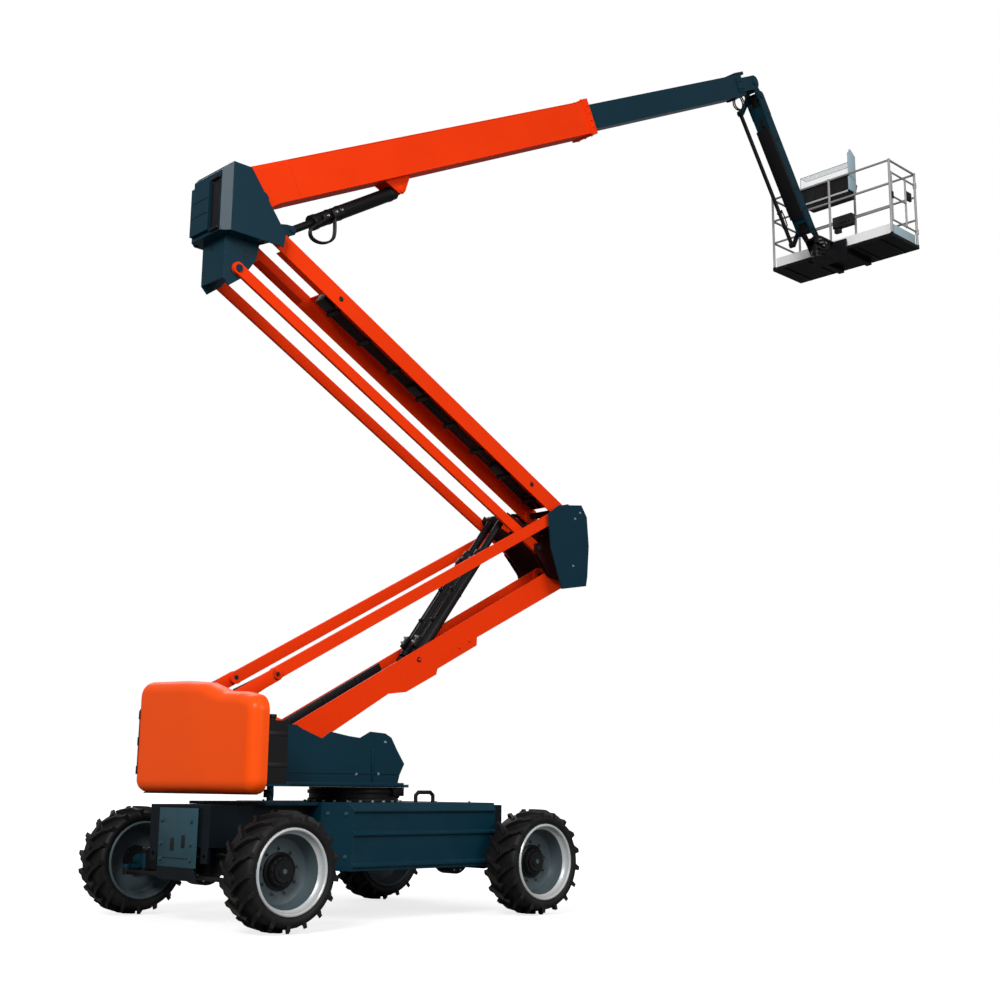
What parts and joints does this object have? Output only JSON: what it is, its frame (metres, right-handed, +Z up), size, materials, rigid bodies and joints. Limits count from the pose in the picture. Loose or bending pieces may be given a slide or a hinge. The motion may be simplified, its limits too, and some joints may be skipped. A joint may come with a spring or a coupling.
{
  "type": "articulating boom lift",
  "caption": "Self-propelled work platform on a slewing turntable, with a folding double riser, a telescopic boom and a jib.",
  "frame": {"origin": "on the floor, midway between the axles, on the centre line", "axes": "+X along the machine towards the work platform, +Y across it, +Z up"},
  "size_m": [10.7552, 2.49, 10.2734],
  "materials": {
    "orange_paint": "semi-gloss",
    "teal_paint": "semi-gloss",
    "black_paint": "satin",
    "grey_paint": "semi-gloss",
    "silver_paint": "satin",
    "cast_metal": "rough",
    "bright_steel": "polished",
    "tyre_rubber": "matte",
    "black_plastic": "matte"
  },
  "bodies": {
    "chassis": {"chassis_frame": "teal_paint", "side_covers": "teal_paint", "slew_bearing": "black_paint", "steer_axle": "black_paint", "drive_axle": "black_paint"},
    "knuckle_near": {"knuckle_near": "teal_paint"},
    "knuckle_far": {"knuckle_far": "teal_paint"},
    "tie_rod": {"tie_rod": "bright_steel"},
    "turntable": {"turntable_frame": "teal_paint", "rear_cowl": "orange_paint", "counterweight": "cast_metal", "hydraulic_tank": "black_paint", "engine_hood": "orange_paint", "engine": "cast_metal"},
    "engine_door": {"engine_door": "orange_paint"},
    "lower_arm": {"lower_arm": "orange_paint"},
    "lower_links": {"lower_links": "orange_paint"},
    "mid_link": {"mid_link": "teal_paint"},
    "upper_arm": {"upper_arm": "orange_paint"},
    "upper_links": {"upper_links": "orange_paint"},
    "riser_head": {"riser_head": "teal_paint"},
    "riser_cylinder_barrels": {"riser_cylinder_barrels": "black_paint"},
    "riser_cylinder_rods": {"riser_cylinder_rods": "black_paint"},
    "primary_boom": {"primary_boom": "orange_paint", "wear_pads": "black_plastic"},
    "boom_cylinder_barrel": {"boom_cylinder_barrel": "black_paint"},
    "boom_cylinder_rod": {"boom_cylinder_rod": "bright_steel"},
    "extension_boom": {"extension_boom": "teal_paint"},
    "jib_head": {"jib_head": "teal_paint"},
    "jib": {"jib": "teal_paint"},
    "jib_rod": {"jib_rod": "black_paint"},
    "platform_bracket": {"platform_bracket": "black_paint"},
    "platform": {"platform_mount": "black_paint", "platform_floor": "black_paint", "platform_rails": "grey_paint", "control_console": "black_plastic"},
    "platform_gate": {"platform_gate": "grey_paint"},
    "wheel_rear_near": {"tyre_rear_near": "tyre_rubber", "rim_rear_near": "silver_paint"},
    "wheel_rear_far": {"tyre_rear_far": "tyre_rubber", "rim_rear_far": "silver_paint"},
    "wheel_front_near": {"tyre_front_near": "tyre_rubber", "rim_front_near": "silver_paint"},
    "wheel_front_far": {"tyre_front_far": "tyre_rubber", "rim_front_far": "silver_paint"}
  },
  "joints": [
    {"name": "steer_near", "type": "hinge", "parent": "chassis", "child": "knuckle_near", "pos_m": [-1.35, -0.85, 0.45], "axis": [0, 0, 1], "range_deg": [-35, 35]},
    {"name": "steer_far", "type": "hinge", "parent": "chassis", "child": "knuckle_far", "pos_m": [-1.35, 0.85, 0.45], "axis": [0, 0, 1], "range_deg": [-35, 35]},
    {"name": "tie_rod_shift", "type": "slide", "parent": "chassis", "child": "tie_rod", "axis": [0, 1, 0], "range_m": [-0.12, 0.12]},
    {"name": "wheel_rear_near_spin", "type": "hinge", "parent": "knuckle_near", "child": "wheel_rear_near", "pos_m": [-1.35, -1.0675, 0.45], "axis": [0, 1, 0], "continuous": true},
    {"name": "wheel_rear_far_spin", "type": "hinge", "parent": "knuckle_far", "child": "wheel_rear_far", "pos_m": [-1.35, 1.0675, 0.45], "axis": [0, 1, 0], "continuous": true},
    {"name": "wheel_front_near_spin", "type": "hinge", "parent": "chassis", "child": "wheel_front_near", "pos_m": [1.35, -1.0675, 0.45], "axis": [0, 1, 0], "continuous": true},
    {"name": "wheel_front_far_spin", "type": "hinge", "parent": "chassis", "child": "wheel_front_far", "pos_m": [1.35, 1.0675, 0.45], "axis": [0, 1, 0], "continuous": true},
    {"name": "slew", "type": "hinge", "parent": "chassis", "child": "turntable", "pos_m": [0.17, 0, 1.075], "axis": [0, 0, 1], "continuous": true},
    {"name": "engine_door_hinge", "type": "hinge", "parent": "turntable", "child": "engine_door", "pos_m": [-1.35, 0.868, 1.4], "axis": [0, 0, 1], "range_deg": [0, 100]},
    {"name": "riser_lift", "type": "hinge", "parent": "turntable", "child": "lower_arm", "pos_m": [-0.72, 0, 1.432], "axis": [0, -1, 0], "range_deg": [-24.4, 20]},
    {"name": "lower_links_turn", "type": "hinge", "parent": "turntable", "child": "lower_links", "pos_m": [-0.923, 0, 1.99], "axis": [0, -1, 0], "range_deg": [-24.4, 20]},
    {"name": "mid_link_turn", "type": "hinge", "parent": "lower_arm", "child": "mid_link", "pos_m": [2.65575, 0, 3.24965], "axis": [0, -1, 0], "range_deg": [-20, 24.4]},
    {"name": "upper_arm_turn", "type": "hinge", "parent": "mid_link", "child": "upper_arm", "pos_m": [2.59275, 0, 3.88165], "axis": [0, 1, 0], "range_deg": [-24.4, 20]},
    {"name": "upper_links_turn", "type": "hinge", "parent": "mid_link", "child": "upper_links", "pos_m": [2.28875, 0, 3.45965], "axis": [0, 1, 0], "range_deg": [-24.4, 20]},
    {"name": "riser_head_turn", "type": "hinge", "parent": "upper_arm", "child": "riser_head", "pos_m": [-1.10526, 0, 5.87282], "axis": [0, 1, 0], "range_deg": [-20, 24.4]},
    {"name": "riser_barrels_turn", "type": "hinge", "parent": "lower_arm", "child": "riser_cylinder_barrels", "pos_m": [0.77153, 0, 2.2351], "axis": [0, -1, 0], "range_deg": [-1.7, 1.5]},
    {"name": "riser_rods_slide", "type": "slide", "parent": "riser_cylinder_barrels", "child": "riser_cylinder_rods", "axis": [0.6056, 0, 0.7957], "range_m": [-0.39, 0.32]},
    {"name": "boom_lift", "type": "hinge", "parent": "riser_head", "child": "primary_boom", "pos_m": [-1.25025, 0, 6.11982], "axis": [0, -1, 0], "range_deg": [-24, 45]},
    {"name": "boom_barrel_turn", "type": "hinge", "parent": "primary_boom", "child": "boom_cylinder_barrel", "pos_m": [0.47623, 0, 6.80963], "axis": [0, -1, 0], "range_deg": [-6, 9]},
    {"name": "boom_rod_slide", "type": "slide", "parent": "boom_cylinder_barrel", "child": "boom_cylinder_rod", "axis": [-0.848, 0, -0.5299], "range_m": [-0.16, 0.29]},
    {"name": "telescope", "type": "slide", "parent": "primary_boom", "child": "extension_boom", "axis": [0.8902, 0, 0.4555], "range_m": [-2.6, 0.9]},
    {"name": "jib_head_level", "type": "hinge", "parent": "extension_boom", "child": "jib_head", "pos_m": [6.41081, 0, 10.18351], "axis": [0, -1, 0], "range_deg": [-45, 24]},
    {"name": "jib_lift", "type": "hinge", "parent": "jib_head", "child": "jib", "pos_m": [6.55681, 0, 10.04451], "axis": [0, 1, 0], "range_deg": [-124, 6]},
    {"name": "jib_rod_turn", "type": "hinge", "parent": "jib_head", "child": "jib_rod", "pos_m": [6.44681, 0, 9.84451], "axis": [0, 1, 0], "range_deg": [-124, 6]},
    {"name": "platform_level", "type": "hinge", "parent": "jib", "child": "platform_bracket", "pos_m": [7.6562, 0, 8.51454], "axis": [0, 1, 0], "range_deg": [-6, 124]},
    {"name": "platform_rotate", "type": "hinge", "parent": "platform_bracket", "child": "platform", "pos_m": [7.92621, 0, 8.34454], "axis": [0, 0, 1], "range_deg": [-90, 90]},
    {"name": "platform_gate_hinge", "type": "hinge", "parent": "platform", "child": "platform_gate", "pos_m": [8.93, -0.94, 8.89004], "axis": [0, 0, -1], "range_deg": [0, 75]}
  ],
  "couplings": [
    {"joint": "steer_far", "follows": "steer_near", "ratio": 1},
    {"joint": "tie_rod_shift", "follows": "steer_near", "m_per_rad": -0.1862},
    {"joint": "lower_links_turn", "follows": "riser_lift", "ratio": 1},
    {"joint": "mid_link_turn", "follows": "riser_lift", "ratio": -1},
    {"joint": "upper_arm_turn", "follows": "riser_lift", "ratio": 1},
    {"joint": "upper_links_turn", "follows": "riser_lift", "ratio": 1},
    {"joint": "riser_head_turn", "follows": "riser_lift", "ratio": -1},
    {"joint": "riser_barrels_turn", "follows": "riser_lift", "ratio": 0.06},
    {"joint": "riser_rods_slide", "follows": "riser_lift", "m_per_rad": 0.875},
    {"joint": "boom_barrel_turn", "follows": "boom_lift", "ratio": 0.16},
    {"joint": "boom_rod_slide", "follows": "boom_lift", "m_per_rad": 0.35},
    {"joint": "jib_head_level", "follows": "boom_lift", "ratio": -1},
    {"joint": "jib_rod_turn", "follows": "jib_lift", "ratio": 1},
    {"joint": "platform_level", "follows": "jib_lift", "ratio": -1}
  ]
}
